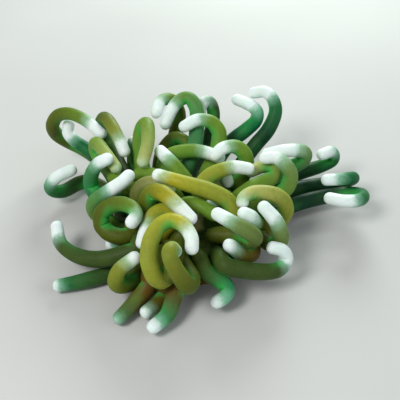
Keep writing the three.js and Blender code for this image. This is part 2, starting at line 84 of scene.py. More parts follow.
# ---- Sizes and colours -----------------------------------------------------------------------
class AnemoneSizes(bpy.types.PropertyGroup):
    """What shapes the skin"""

    sides: bpy.props.IntProperty(
        name="Sides", description="Points round a tentacle", default=20, min=8, max=32
    )
    ring_step: bpy.props.FloatProperty(
        name="Ring step", description="Between rings of a straight stretch", default=1.25 * MM, unit="LENGTH"
    )
    bend_step: bpy.props.FloatProperty(
        name="Bend step", description="Between rings of a tight bend", default=0.55 * MM, unit="LENGTH"
    )
    wrinkle_depth: bpy.props.FloatProperty(
        name="Wrinkle depth", description="Of the folds inside a tight bend", default=0.1 * MM, unit="LENGTH"
    )
    wrinkle_pitch: bpy.props.FloatProperty(
        name="Wrinkle pitch", description="From one fold to the next", default=2.3 * MM, unit="LENGTH"
    )
    flare: bpy.props.FloatProperty(
        name="Root flare", description="How much wider a tentacle is at the disc", default=0.3,
        subtype="FACTOR",
    )
    flare_length: bpy.props.FloatProperty(
        name="Flare length", description="Of the widened root", default=4.5 * MM, unit="LENGTH"
    )
    # How far from the disc the painted shade reaches up a tentacle, darkening its root where shade falls
    # between the crowded roots
    shade_length: bpy.props.FloatProperty(
        name="Shade length", description="Of the dark root", default=13 * MM, unit="LENGTH"
    )
    fade_length: bpy.props.FloatProperty(
        name="Fade length", description="Over which a white end fades", default=8 * MM, unit="LENGTH"
    )
    turn_length: bpy.props.FloatProperty(
        name="Turn length", description="Over which a shaft turns to its root's shade", default=22 * MM,
        unit="LENGTH",
    )
    brown_share: bpy.props.FloatProperty(
        name="Brown share", description="Of the turn length, over which a shaft turns brown", default=0.65,
        subtype="FACTOR",
    )
    fillet: bpy.props.FloatProperty(
        name="Fillet", description="Reach of the hollow where a root meets the disc", default=2.0 * MM,
        unit="LENGTH",
    )
    warts: bpy.props.IntProperty(
        name="Warts", description="Warts in each of the column's rows", default=7, min=1, max=20
    )
    wart_rows: bpy.props.IntProperty(
        name="Wart rows", description="Rows of warts round the column", default=36, min=4, max=80
    )
    wart_radius: bpy.props.FloatProperty(
        name="Wart radius", description="Of one wart", default=0.5 * MM, unit="LENGTH"
    )


def colour(name, description, default):
    return bpy.props.FloatVectorProperty(
        name=name, description=description, default=default, size=3, min=0, max=1, subtype="COLOR"
    )


class AnemoneColours(bpy.types.PropertyGroup):
    """What colours the skin"""

    tip: colour("Tip", "The white ends", (0.83, 0.9, 0.9))
    frost: colour("Frost", "Where a white end fades", (0.38, 0.64, 0.5))
    cream: colour("Cream", "The pale yellow ends", (0.52, 0.53, 0.2))
    straw: colour("Straw", "The yellow shafts over the middle", (0.47, 0.42, 0.018))
    olive: colour("Olive", "The warm shafts over the middle", (0.29, 0.32, 0.035))
    leaf: colour("Leaf", "Most shafts", (0.14, 0.26, 0.026))
    moss: colour("Moss", "The dark warm shafts", (0.08, 0.098, 0.006))
    sage: colour("Sage", "The pale grey-green shafts", (0.18, 0.28, 0.09))
    smoke: colour("Smoke", "The dark grey-green shafts", (0.042, 0.076, 0.014))
    sea: colour("Sea green", "The cool shafts", (0.055, 0.23, 0.09))
    pine: colour("Pine", "The deep green shafts", (0.0, 0.17, 0.055))
    emerald: colour("Emerald", "The brightest green shafts", (0.0, 0.3, 0.11))
    # Glow: a painted glow, a lighter green on the insides of bends
    glow: colour("Glow", "The insides of bends", (0.04, 0.4, 0.075))
    # Teal: a real cold hue, made darker with painted shade for the shafts at the right and the back, which
    # get less light
    teal: colour("Teal", "The cold shafts at the right and the back", (0.0, 0.032, 0.018))
    brown: colour("Brown", "Roots at the front", (0.12, 0.062, 0.006))
    # Base: the disc's own dark green deepened by painted shade, and also the painted shade of the roots
    base: colour("Base", "The oral disc and the roots on it", (0.02, 0.04, 0.008))
    mouth: colour("Mouth", "The lips", (0.3, 0.3, 0.12))
    column: colour("Column", "The column and the pedal disc", (0.2, 0.1, 0.022))
    rim: colour("Rim", "The sheen at the edges", (0.08, 0.8, 0.18))


# ---- Reading the solid tentacles -------------------------------------------------------------
def welded(node):
    """A node's corners, each once, and the corners that each one is joined to."""
    mesh = frame["nodes"][node].data
    places = np.empty(len(mesh.vertices) * 3)
    mesh.vertices.foreach_get("co", places)
    keys = np.round(places.reshape(-1, 3) / SAME_PLACE).astype(np.int64)
    corners, number = np.unique(keys, axis=0, return_inverse=True)
    loops = np.empty(len(mesh.loops), int)
    mesh.loops.foreach_get("vertex_index", loops)
    joined = [set() for _ in corners]
    for a, b, c in number.reshape(-1)[loops].reshape(-1, 3):
        joined[a] |= {b, c}
        joined[b] |= {a, c}
        joined[c] |= {a, b}
    return corners * SAME_PLACE, joined


def rings_from(pole, joined):
    """The rings of corners met one after another from a pole, and what lies past the last one."""
    seen = {pole}
    front = {pole}
    rings = []
    while True:
        front = set().union(*[joined[i] for i in front]) - seen
        if len(front) != FINGER_CORNERS:
            return rings, front
        seen |= front
        rings.append(sorted(front))


def ring_circle(points):
    """Centre and radius of a six-cornered ring. Corners inside a bend may be pinched in, so the
    three neighbours that lie best on a regular ring give both."""
    flat = points - points.mean(axis=0)
    across, up = np.linalg.svd(flat)[2][:2]
    ring = points[np.argsort(np.arctan2(flat @ up, flat @ across))]
    best = None
    for k in range(FINGER_CORNERS):
        three = ring[[k - 2, k - 1, k]]
        centre = three[0] + three[2] - three[1]
        reach = np.linalg.norm(three - centre, axis=1)
        score = reach.mean() - 4 * (reach.max() - reach.min())
        if best is None or score > best[0]:
            best = (score, centre, float(reach.mean()))
    return best[1], best[2]


def fingers(node):
    """Each finger in a node, from its pole on: the pole's place, ring centres, ring radii and the
    middle of what lies past the last ring."""
    corners, joined = welded(node)
    found = []
    for pole, near in enumerate(joined):
        if len(near) != FINGER_CORNERS:
            continue
        rings, past = rings_from(pole, joined)
        if len(rings) < 3:
            continue
        centres, radii = zip(*(ring_circle(corners[ring]) for ring in rings))
        found.append((corners[pole], centres, radii, corners[sorted(past)].mean(axis=0)))
    return found


def is_rounded(finger):
    """Whether a finger's pole is its rounded tip, whose first ring is much the smaller."""
    radii = finger[2]
    return radii[0] < ROUNDED_SHARE * radii[1]


def tentacle_routes():
    """Every tentacle as (name, points from tip to root, radii), the last point where it meets the
    disc. Two lengths of one tentacle are joined end to end."""
    routes = []
    for node in sorted(frame["nodes"]):
        if not node.startswith("tentacle_") or node.endswith("_shaft"):
            continue
        tip = next(f for f in fingers(node) if is_rounded(f))
        points = [tip[0], *tip[1]]
        radii = [0.0, *tip[2]]
        root = tip[3]
        if node.endswith("_tip"):
            shaft = fingers(node.replace("_tip", "_shaft"))[0]
            points += shaft[1]
            radii += shaft[2]
            root = shaft[3]
        routes.append((node.replace("_tip", ""), [*points, root], [*radii, radii[-1]]))
    young = [f for f in fingers("oral_disc") if is_rounded(f)]
    for number, (pole, centres, radii, root) in enumerate(young, start=1):
        points = [pole, *centres, root]
        routes.append((f"young_{number:02d}", points, [0.0, *radii, radii[-1]]))
    return routes


# ---- Smooth routes ---------------------------------------------------------------------------
FINE = 0.2 * MM
TIP_RINGS = 8  # rings of the rounded tip
BURIED = 3.0 * MM  # how far a root goes on inside the disc
INNER_REACH = 0.8  # of the inside of a bend, as a share of the bend's radius
# Lengths over which a route's radius, direction and bend are evened
RADIUS_REACH = 2.5 * MM
DIRECTION_REACH = 1.0 * MM
BEND_REACH = 1.5 * MM
WIDE_BEND_REACH = 5 * MM
# Tightness of a bend, as the tentacle's radius over the bend's
GLOWING_BEND = 0.45  # where its inside glows in full
CLOSE_RING_BEND = 0.6  # where rings stand closest
FOLDED_BEND = 0.7  # where its folds are deepest
PINCH = 6  # how sharply the inside of a bend stops at its reach
FIRST_SIDE = (0.31, 0.27, 0.91)  # along no tentacle, to start its rings from


def spline(points):
    """A centripetal Catmull-Rom curve through points, as closely spaced points."""
    p = np.array(points)
    p = np.vstack([2 * p[0] - p[1], p, 2 * p[-1] - p[-2]])
    fine = []
    for i in range(1, len(p) - 2):
        knots = [0.0]
        for j in range(i - 1, i + 2):
            knots.append(knots[-1] + math.sqrt(max(np.linalg.norm(p[j + 1] - p[j]), 1e-9)))
        k0, k1, k2, k3 = knots
        count = max(2, int(np.linalg.norm(p[i + 1] - p[i]) / FINE))
        t = np.linspace(k1, k2, count, endpoint=False)[:, None]
        a1 = (k1 - t) / (k1 - k0) * p[i - 1] + (t - k0) / (k1 - k0) * p[i]
        a2 = (k2 - t) / (k2 - k1) * p[i] + (t - k1) / (k2 - k1) * p[i + 1]
        a3 = (k3 - t) / (k3 - k2) * p[i + 1] + (t - k2) / (k3 - k2) * p[i + 2]
        b1 = (k2 - t) / (k2 - k0) * a1 + (t - k0) / (k2 - k0) * a2
        b2 = (k3 - t) / (k3 - k1) * a2 + (t - k1) / (k3 - k1) * a3
        fine.append((k2 - t) / (k2 - k1) * b1 + (t - k1) / (k2 - k1) * b2)
    return np.vstack([*fine, p[-2]])


def lengths_along(points):
    """How far along a line each of its points lies."""
    steps = np.linalg.norm(np.diff(points, axis=0), axis=1)
    return np.concatenate([[0.0], np.cumsum(steps)])


def smoothed(values, reach):
    """Values along a route averaged over a length, with the ends held."""
    if values.ndim > 1:
        return np.column_stack([smoothed(column, reach) for column in values.T])
    count = int(reach / FINE)
    kernel = np.hanning(2 * count + 3)[1:-1]
    padded = np.concatenate([np.full(count, values[0]), values, np.full(count, values[-1])])
    return np.convolve(padded, kernel / kernel.sum(), mode="valid")


class Route:
    """One tentacle's centre line, measured from its tip, with the skin's radius along it."""

    def __init__(self, name, points, radii, sizes):
        self.name = name
        inward = np.array(points[-1]) - np.array(points[-2])
        inward /= max(np.linalg.norm(inward), 1e-9)
        # The rounded tip's own ring is left out: the tip is rounded again on the skin.
        line = [points[0], *points[2:], points[-1] + inward * BURIED]
        self.fine = spline(line)
        self.s = lengths_along(self.fine)
        self.length = self.s[-1] - BURIED
        marks = [self.nearest(point) for point in points[2:]]
        shaft = np.interp(self.s, marks, np.array(radii[2:]) * CORNER_TO_SKIN)
        shaft = smoothed(shaft, RADIUS_REACH)
        from_root = np.clip(self.length - self.s, 0, sizes.flare_length) / sizes.flare_length
        shaft *= 1 + sizes.flare * (1 - from_root) ** 2
        self.tip_radius = float(shaft[0])
        inset = np.clip(self.tip_radius - self.s, 0, None)
        self.radius = np.minimum(shaft, np.sqrt(np.clip(self.tip_radius**2 - inset**2, 0, None)))
        self.radius = np.where(self.s >= self.tip_radius, shaft, self.radius)
        tangent = np.gradient(self.fine, self.s, axis=0)
        tangent /= np.linalg.norm(tangent, axis=1)[:, None]
        tangent = smoothed(tangent, DIRECTION_REACH)
        self.tangent = tangent / np.linalg.norm(tangent, axis=1)[:, None]
        bend = np.gradient(self.tangent, self.s, axis=0)
        self.bend = smoothed(bend, BEND_REACH)
        self.wide_bend = smoothed(bend, WIDE_BEND_REACH)

    def nearest(self, point):
        return self.s[np.argmin(np.linalg.norm(self.fine - point, axis=1))]

    def at(self, values, s):
        if values.ndim == 1:
            return np.interp(s, self.s, values)
        return np.column_stack([np.interp(s, self.s, values[:, k]) for k in range(values.shape[1])])

    def ring_places(self, sizes):
        """Distances from the tip of the rings: close together on the tip and in bends."""
        turn = np.linspace(0, math.pi / 2, TIP_RINGS + 1)[1:]
        places = list(self.tip_radius * (1 - np.cos(turn)))
        tightness = np.linalg.norm(self.bend, axis=1) * self.radius
        while places[-1] < self.s[-1]:
            tight = min(1.0, float(np.interp(places[-1], self.s, tightness)) / CLOSE_RING_BEND)
            step = sizes.ring_step + (sizes.bend_step - sizes.ring_step) * tight
            places.append(places[-1] + step)
        places[-1] = self.s[-1]
        return np.array(places)


def tube(route, sizes):
    """A tentacle's skin as corners, faces, each corner's distance from the tip and how far inside a
    tight bend it lies, from 0 to 1."""
    s = route.ring_places(sizes)
    centre = route.at(route.fine, s)
    tangent = route.at(route.tangent, s)
    tangent /= np.linalg.norm(tangent, axis=1)[:, None]
    radius = route.at(route.radius, s)
    bend = route.at(route.bend, s)
    tightness = np.linalg.norm(bend, axis=1)
    wide_bend = route.at(route.wide_bend, s) * radius[:, None] / GLOWING_BEND
    side = np.cross(tangent[0], FIRST_SIDE)
    rings = []
    inside = []
    angles = np.arange(sizes.sides) * 2 * math.pi / sizes.sides
    for i in range(len(s)):
        side = side - tangent[i] * side.dot(tangent[i])
        side /= np.linalg.norm(side)
        other = np.cross(side, tangent[i])
        out = np.outer(np.cos(angles), side) + np.outer(np.sin(angles), other)
        reach = np.full(sizes.sides, radius[i])
        # How much painted glow each corner gets, by how far inside a wide bend it lies
        inside.append(np.clip(out @ wide_bend[i], 0, 1))
        if tightness[i] > 1e-6:
            inner = np.clip(out @ (bend[i] / tightness[i]), 0, 1)
            tight = np.clip(tightness[i] * radius[i] / FOLDED_BEND, 0, 1) ** 2
            wave = 0.5 + 0.5 * math.cos(2 * math.pi * s[i] / sizes.wrinkle_pitch)
            reach -= sizes.wrinkle_depth * wave * tight * inner**2
            folded = reach * inner * tightness[i] / INNER_REACH
            reach /= (1 + folded**PINCH) ** (1 / PINCH)
        rings.append(centre[i] + out * reach[:, None])
    corners = np.vstack([route.fine[0], *rings, route.fine[-1]])
    n = sizes.sides
    faces = []
    for j in range(n):
        k = (j + 1) % n
        faces.append((0, 1 + j, 1 + k))
        for i in range(len(s) - 1):
            a = 1 + i * n
            faces.append((a + j, a + n + j, a + n + k, a + k))
        a = 1 + (len(s) - 1) * n
        faces.append((a + j, len(corners) - 1, a + k))
    along = np.concatenate([[0.0], np.repeat(s, n), [s[-1]]])
    return corners, faces, along, np.concatenate([[0.0], *inside, [0.0]])


# ---- The trunk -------------------------------------------------------------------------------
TRUNK_SIDES = 144
TRUNK_STEP = 0.55 * MM
PLEATS = 48  # folds down the column, where the inner walls join it
PLEAT_DEPTH = 0.32 * MM
SOLE_WAVES = 7  # round the sole's edge, with smaller ripples on them
SOLE_RIPPLES = 16
RIPPLE_SHARE = 0.6
WAVE_DEPTH = 0.35 * MM
FURROWS = 24  # on the disc, from the mouth outwards
FURROW_DEPTH = 0.22 * MM
SLIT = 0.35  # how far the mouth is drawn out one way and in the other
LIP_FOLDS = 14
LIP_FOLD_HEIGHT = 0.16 * MM


def trunk_section():
    """Half-section of the trunk from the sole's middle round to the mouth's, as (radius, height),
    measured off the solid trunk."""
    foot_low, foot_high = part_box("pedal_disc")
    column_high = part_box("column")[1]
    mouth_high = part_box("mouth")[1]
    foot = foot_high.x
    waist = column_high.x - 1.2 * MM
    margin = column_high.x * 1.3
    lip = mouth_high.x
    top = mouth_high.z
    return [
        (0.0, foot_low.z),
        (foot * 0.5, foot_low.z),
        (foot * 0.96, foot_low.z),
        (foot, foot_high.z * 0.33),
        (foot * 0.95, foot_high.z * 0.8),
        (waist + 0.6 * MM, foot_high.z * 1.25),
        (waist, column_high.z * 0.68),
        (waist + 1.0 * MM, column_high.z * 0.98),
        (margin * 0.93, column_high.z * 1.22),
        (margin * 0.995, column_high.z * 1.62),
        (margin * 0.94, top * 0.8),
        (margin * 0.8, top * 0.9),
        (margin * 0.55, top * 0.955),
        (lip * 1.9, top * 0.93),
        (lip * 1.25, top * 0.93),
        (lip * 0.85, top),
        (lip * 0.45, top * 0.975),
        (lip * 0.2, top * 0.86),
        (0.0, top * 0.8),
    ]


def trunk_shape():
    """The trunk's skin as corners and faces, with pleats down the column, a wavy sole, radial
    furrows on the disc and a slit mouth."""
    section = np.array(trunk_section())
    line = spline(np.column_stack([section, np.zeros(len(section))]))[:, :2]
    line[:, 1] = np.clip(line[:, 1], section[0, 1], None)
    s = lengths_along(line)
    places = np.linspace(0, s[-1], int(s[-1] / TRUNK_STEP))[1:-1]
    radius = np.interp(places, s, line[:, 0])
    height = np.interp(places, s, line[:, 1])
    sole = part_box("pedal_disc")[1].z
    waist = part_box("column")[1].z
    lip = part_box("mouth")[1].x
    angles = np.arange(TRUNK_SIDES) * 2 * math.pi / TRUNK_SIDES
    rings = []
    for r, z in zip(radius, height):
        reach = np.full(TRUNK_SIDES, r)
        lift = np.full(TRUNK_SIDES, z)
        on_side = math.exp(-(((z - waist * 0.62) / (waist * 0.42)) ** 2)) if r > lip * 3 else 0.0
        reach += PLEAT_DEPTH * on_side * (np.cos(PLEATS * angles) - 1)
        wavy = max(0.0, 1 - abs(z - sole * 0.3) / (sole * 0.6)) if r > lip * 3 else 0.0
        ripples = RIPPLE_SHARE * np.cos(SOLE_RIPPLES * angles)
        reach += WAVE_DEPTH * wavy * (np.cos(SOLE_WAVES * angles + 0.8) + ripples - (1 + RIPPLE_SHARE))
        if z > waist * 1.7:
            furrow = np.clip((r - lip) / (3 * lip), 0, 1)
            lift -= FURROW_DEPTH * furrow * (1 + np.cos(FURROWS * angles)) / 2
            slit = np.clip(1.6 - r / lip, 0, 1)
            reach *= 1 + slit * (SLIT * np.cos(2 * angles))
            ridge = math.exp(-(((r - lip * 0.8) / (lip * 0.3)) ** 2))
            lift += LIP_FOLD_HEIGHT * ridge * np.cos(LIP_FOLDS * angles)
        rings.append(np.column_stack([reach * np.cos(angles), reach * np.sin(angles), lift]))
    bottom = np.array([[0.0, 0.0, section[0, 1]]])
    top = np.array([[0.0, 0.0, section[-1, 1]]])
    corners = np.vstack([bottom, *rings, top])
    n = TRUNK_SIDES
    faces = []
    for j in range(n):
        k = (j + 1) % n
        faces.append((0, 1 + k, 1 + j))
        for i in range(len(rings) - 1):
            a = 1 + i * n
            faces.append((a + j, a + k, a + n + k, a + n + j))
        a = 1 + (len(rings) - 1) * n
        faces.append((a + j, a + k, len(corners) - 1))
    return corners, faces


# ---- Joining and softening -------------------------------------------------------------------
def mesh_object(name, corners, faces):
    mesh = bpy.data.meshes.new(name)
    mesh.from_pydata([tuple(c) for c in corners], [], faces)
    mesh.update()
    made = bpy.data.objects.new(name, mesh)
    bpy.context.scene.collection.objects.link(made)
    return made


LAYERS = ("number", "along", "flesh", "root", "glow", "red", "green", "blue")
SOFTENED = LAYERS[2:]  # those that run into each other where a root meets the disc


def set_values(mesh, name, values):
    """Keeps one number for each corner of a mesh, for the materials."""
    layer = mesh.attributes.get(name) or mesh.attributes.new(name, "FLOAT", "POINT")
    layer.data.foreach_set("value", np.asarray(values, dtype=np.float32))


def set_layers(mesh, **layers):
    """Keeps one number, or one for each corner, for every layer of a mesh."""
    for name in LAYERS:
        set_values(mesh, name, np.broadcast_to(layers[name], len(mesh.vertices)))


def get_values(mesh, name):
    values = np.empty(len(mesh.vertices), dtype=np.float32)
    mesh.attributes[name].data.foreach_get("value", values)
    return values.astype(float)


def evaluated_mesh(source):
    """An object's mesh with its modifiers applied."""
    graph = bpy.context.evaluated_depsgraph_get()
    return bpy.data.meshes.new_from_object(source.evaluated_get(graph))


def union(body, others):
    """Joins the others to body as one closed skin; the others are used up."""
    group = bpy.data.collections.new("to_join")
    bpy.context.scene.collection.children.link(group)
    for other in others:
        bpy.context.scene.collection.objects.unlink(other)
        group.objects.link(other)
    join = body.modifiers.new("Join", "BOOLEAN")
    join.operation = "UNION"
    join.operand_type = "COLLECTION"
    join.collection = group
    join.solver = "MANIFOLD"
    joined = evaluated_mesh(body)
    body.modifiers.remove(join)
    for other in list(group.objects):
        bpy.data.objects.remove(other)
    bpy.data.collections.remove(group)
    body.data = joined


def edge_ends(mesh):
    """The corner at the one end of every edge, and at the other."""
    edges = np.empty(len(mesh.edges) * 2, int)
    mesh.edges.foreach_get("vertices", edges)
    return edges.reshape(-1, 2).T


def fill_new_corners(mesh):
    """Gives the corners that the join made, whose layers are empty, their neighbours' mean."""
    a, b = edge_ends(mesh)
    values = np.column_stack([get_values(mesh, name) for name in LAYERS])
    empty = values[:, LAYERS.index("green")] == 0
    while empty.any():
        total = np.zeros_like(values)
        count = np.zeros(len(values))
        for one, other in ((a, b), (b, a)):
            use = empty[one] & ~empty[other]
            np.add.at(total, one[use], values[other[use]])
            np.add.at(count, one[use], 1)
        found = count > 0
        if not found.any():
            raise RuntimeError("the joined skin has loose parts")
        values[found] = total[found] / count[found, None]
        empty &= ~found
    for name, column in zip(LAYERS, values.T):
        set_values(mesh, name, column)


SOFTEN_ROUNDS = 30
SOFTEN_SHARE = 0.6  # of the way to its neighbours' mean, that a corner on a crease moves in a round


def soften_roots(mesh, reach):
    """Rounds the crease where a tentacle meets the disc or another root, within reach of it."""
    count = len(mesh.vertices)
    places = np.empty(count * 3)
    mesh.vertices.foreach_get("co", places)
    places = places.reshape(-1, 3)
    a, b = edge_ends(mesh)
    number = get_values(mesh, "number")
    crossing = np.flatnonzero(np.abs(number[a] - number[b]) > 0.5)
    seam = np.unique(np.concatenate([a[crossing], b[crossing]]))
    tree = kdtree.KDTree(len(seam))
    for index, corner in enumerate(seam):
        tree.insert(places[corner], index)
    tree.balance()
    away = np.array([tree.find(place)[2] for place in places])
    share = np.clip(1 - away / reach, 0, 1)
    weight = (share * share * (3 - 2 * share))[:, None] * SOFTEN_SHARE
    degree = np.bincount(np.concatenate([a, b]), minlength=count)[:, None]
    shades = np.column_stack([get_values(mesh, name) for name in SOFTENED])
    for _ in range(SOFTEN_ROUNDS):
        for values in (places, shades):
            total = np.zeros_like(values)
            np.add.at(total, a, values[b])
            np.add.at(total, b, values[a])
            values += weight * (total / degree - values)
    mesh.vertices.foreach_set("co", places.reshape(-1))
    for name, values in zip(SOFTENED, shades.T):
        set_values(mesh, name, values)
    mesh.update()


# ---- Tones -----------------------------------------------------------------------------------
# Each tentacle's shade behind its white end, its shade towards the root, and the length of the
# white end. Numbers are the long tentacles' own; those with a y are the young ones'.
NEAR_SHADES = {
    "emerald": "06 09 23",
    "sea": "04 37 38 y01 y02",
    "pine": "02 16 17 18 22 34 36",
    "smoke": "01 11 27",
    "sage": "12 14 19 20",
    "cream": "15 21 31 35 y06 y11",
    "olive": "03 08 10 25 32",
    "straw": "07 40 41",
    "moss": "05 y05 y10",
}
FAR_SHADES = {
    "sea": "19 28",
    "pine": "37",
    # Teal roots: partly painted shade, darker at the right and the back where less light falls
    "teal": "16 17 18 22 23 27 34",
    "smoke": "01 02 11 32 36",
    "leaf": "20 21 24 26 30 31 35 38 y02 y03 y04 y09",
    "olive": "07 15 25 40",
    "straw": "10",
    "brown": "04 05 06 y10",
}
USUAL_NEAR = "leaf"
USUAL_FAR = "moss"
NO_WHITE = -20.0
WHITE_ENDS = {  # by their length in mm
    NO_WHITE: "y03 y05 y07 y09",
    0.0: "04 21 31 35 y06",
    2.0: "02 05 08 15 y02 y08",
    4.5: "03 06 09 39 40 y01 y10 y11",
    7.0: "01 12 13 17 18 32 37 y04",
    12.0: "11 16 22 23 28 36 38",
    15.0: "19",
}
USUAL_WHITE_END = 9.0


def listed(groups, name, usual):
    """Which group lists a tentacle by its number."""
    number = name[-2:] if name.startswith("tentacle_") else "y" + name[-2:]
    for value, numbers in groups.items():
        if number in numbers.split():
            return value
    return usual


# ---- Materials -------------------------------------------------------------------------------
class Nodes:
    """A short hand for a material's nodes."""

    def __init__(self, name):
        self.material = bpy.data.materials.new(name)
        self.material.use_nodes = True
        self.tree = self.material.node_tree
        self.shader = self.tree.nodes["Principled BSDF"]
        self.place = self.node("ShaderNodeTexCoord").outputs["Object"]

    def node(self, kind, **settings):
        made = self.tree.nodes.new(kind)
        for name, value in settings.items():
            setattr(made, name, value)
        return made

    def link(self, source, target):
        self.tree.links.new(source, target)

    def value(self, name):
        return self.node("ShaderNodeAttribute", attribute_name=name).outputs["Fac"]

    def noise(self, scale, detail=2.0, roughness=0.5, distortion=0.0):
        made = self.node("ShaderNodeTexNoise")
        self.link(self.place, made.inputs["Vector"])
        made.inputs["Scale"].default_value = scale
        made.inputs["Detail"].default_value = detail
        made.inputs["Roughness"].default_value = roughness
        made.inputs["Distortion"].default_value = distortion
        return made.outputs["Fac"]

    def spots(self, scale):
        made = self.node("ShaderNodeTexVoronoi")
        self.link(self.place, made.inputs["Vector"])
        made.inputs["Scale"].default_value = scale
        return made.outputs["Distance"]

    def mapped(self, value, low, high, to_low=0.0, to_high=1.0):
        made = self.node("ShaderNodeMapRange", interpolation_type="SMOOTHSTEP")
        self.link(value, made.inputs["Value"])
        ends = {"From Min": low, "From Max": high, "To Min": to_low, "To Max": to_high}
        for socket, number in ends.items():
            made.inputs[socket].default_value = number
        return made.outputs["Result"]

    def math(self, operation, a, b):
        made = self.node("ShaderNodeMath", operation=operation)
        for socket, value in zip(made.inputs, (a, b)):
            if isinstance(value, (int, float)):
                socket.default_value = value
            else:
                self.link(value, socket)
        return made.outputs[0]

    def mix(self, share, a, b):
        made = self.node("ShaderNodeMix", data_type="RGBA")
        if isinstance(share, (int, float)):
            made.inputs["Factor"].default_value = share
        else:
            self.link(share, made.inputs["Factor"])
        for socket, value in ((made.inputs[6], a), (made.inputs[7], b)):
            if isinstance(value, bpy.types.NodeSocket):
                self.link(value, socket)
            else:
                socket.default_value = (*value[:3], 1)
        return made.outputs[2]

    def bump(self, height, distance, strength, before=None):
        made = self.node("ShaderNodeBump")
        self.link(height, made.inputs["Height"])
        made.inputs["Distance"].default_value = distance
        made.inputs["Strength"].default_value = strength
        if before is not None:
            self.link(before, made.inputs["Normal"])
        return made.outputs["Normal"]


def shade_of(colours, name):
    return tuple(getattr(colours, name))


class Mottle:
    """The three grains of the skin: clouds, patches and a fine one."""

    def __init__(self, nodes):
        self.cloud = nodes.noise(95, 3, 0.55, 0.3)
        self.patch = nodes.noise(240, 3, 0.6, 0.6)
        self.fine = nodes.noise(750, 3, 0.6)


def own_shade(nodes):
    """The shade kept on the skin for each tentacle."""
    own = nodes.node("ShaderNodeCombineColor")
    for socket, name in zip(own.inputs, ("red", "green", "blue")):
        nodes.link(nodes.value(name), socket)
    return own.outputs[0]


DARK_GRAIN = (0.015, 0.03, 0.006)
PALE_SPECK = (0.5, 0.62, 0.3)


def shaft_shade(nodes, colours, own, grain):
    """A tentacle's own shade, mottled and specked, with glowing bends and painted shade darkening it towards
    the root.
    """
    speck = nodes.spots(1500)
    glow = nodes.value("glow")
    root = nodes.value("root")
    shade = nodes.mix(nodes.mapped(grain.cloud, 0.35, 0.7, 0.0, 0.12), own, shade_of(colours, "leaf"))
    shade = nodes.mix(nodes.mapped(grain.patch, 0.4, 0.75, 0.0, 0.16), shade, shade_of(colours, "moss"))
    shade = nodes.mix(nodes.mapped(grain.fine, 0.35, 0.7, 0.0, 0.1), shade, DARK_GRAIN)
    shade = nodes.mix(nodes.mapped(speck, 0.0, 0.35, 0.06, 0.0), shade, PALE_SPECK)
    # Painted glow on the insides of tight bends
    shade = nodes.mix(nodes.mapped(glow, 0.0, 1.0, 0.0, 0.75), shade, shade_of(colours, "glow"))
    # Painted shade: darker towards the root, where shade falls between the crowded tentacles at the disc
    return nodes.mix(nodes.mapped(root, 0.0, 1.0, 0.0, 0.85), shade, shade_of(colours, "base"))


def tentacle_shade(nodes, colours, grain):
    """A tentacle from its mottled white end through a pale fade to its shaft."""
    own = own_shade(nodes)
    shaft = shaft_shade(nodes, colours, own, grain)
    frost = shade_of(colours, "frost")
    along = nodes.math("ADD", nodes.value("along"), nodes.mapped(grain.cloud, 0.25, 0.75, -0.1, 0.1))
    along = nodes.math("ADD", along, nodes.mapped(grain.fine, 0.3, 0.7, -0.04, 0.04))
    paled = nodes.mix(nodes.mapped(along, 0.9, 1.6, 0.55, 0.0), shaft, frost)
    white = nodes.mix(nodes.mapped(grain.patch, 0.35, 0.75, 0.0, 0.2), shade_of(colours, "tip"), frost)
    white = nodes.mix(0.07, white, own)
    return nodes.mix(nodes.mapped(along, 0.72, 1.12, 1.0, 0.0), paled, white)


def trunk_shade(nodes, colours, grain):
    """The brown column, the disc on it in its own dark green deepened by painted shade, and the pale lips of
    the mouth.
    """
    axes = nodes.node("ShaderNodeSeparateXYZ")
    nodes.link(nodes.place, axes.inputs[0])
    up = axes.outputs["Z"]
    out = nodes.math("POWER", axes.outputs["X"], 2.0)
    out = nodes.math("ADD", out, nodes.math("POWER", axes.outputs["Y"], 2.0))
    out = nodes.math("SQRT", out, 0.0)
    moss = shade_of(colours, "moss")
    column = nodes.mix(nodes.mapped(grain.cloud, 0.35, 0.7), shade_of(colours, "column"), moss)
    column = nodes.mix(nodes.mapped(grain.fine, 0.35, 0.7, 0.0, 0.4), column, shade_of(colours, "brown"))
    # The disc: its own dark green deepened by painted shade, where shade falls under the tentacles
    disc = nodes.mix(nodes.mapped(grain.patch, 0.4, 0.7), shade_of(colours, "base"), moss)
    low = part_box("column")[1].z
    trunk = nodes.mix(nodes.mapped(up, low, low * 1.5), column, disc)
    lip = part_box("mouth")[1].x
    high = nodes.mapped(up, low * 1.4, low * 1.5)
    lips = nodes.math("MULTIPLY", nodes.mapped(out, lip, lip * 1.8, 1.0, 0.0), high)
    return nodes.mix(lips, trunk, shade_of(colours, "mouth"))


def flesh_material(colours):
    """Satin, slightly clear flesh: the tentacles' shades over the trunk's, and a sheen at the
    edges."""
    nodes = Nodes("flesh")
    grain = Mottle(nodes)
    tentacles = tentacle_shade(nodes, colours, grain)
    trunk = trunk_shade(nodes, colours, grain)
    skin = nodes.mix(nodes.value("flesh"), tentacles, trunk)
    nodes.link(skin, nodes.shader.inputs["Base Color"])
    rough = nodes.mapped(grain.fine, 0.2, 0.8, 0.42, 0.56)
    nodes.link(rough, nodes.shader.inputs["Roughness"])
    bumped = nodes.bump(grain.fine, 0.00012, 0.35)
    bumped = nodes.bump(grain.cloud, 0.0005, 0.25, bumped)
    nodes.link(bumped, nodes.shader.inputs["Normal"])
    shader = nodes.shader.inputs
    shader["Subsurface Weight"].default_value = 0.55
    shader["Subsurface Radius"].default_value = (0.6, 1.0, 0.45)
    shader["Subsurface Scale"].default_value = 0.0018
    shader["Specular IOR Level"].default_value = 0.13
    shader["Sheen Weight"].default_value = 0.6
    shader["Sheen Roughness"].default_value = 0.15
    shader["Sheen Tint"].default_value = (*shade_of(colours, "rim"), 1)
    return nodes.material


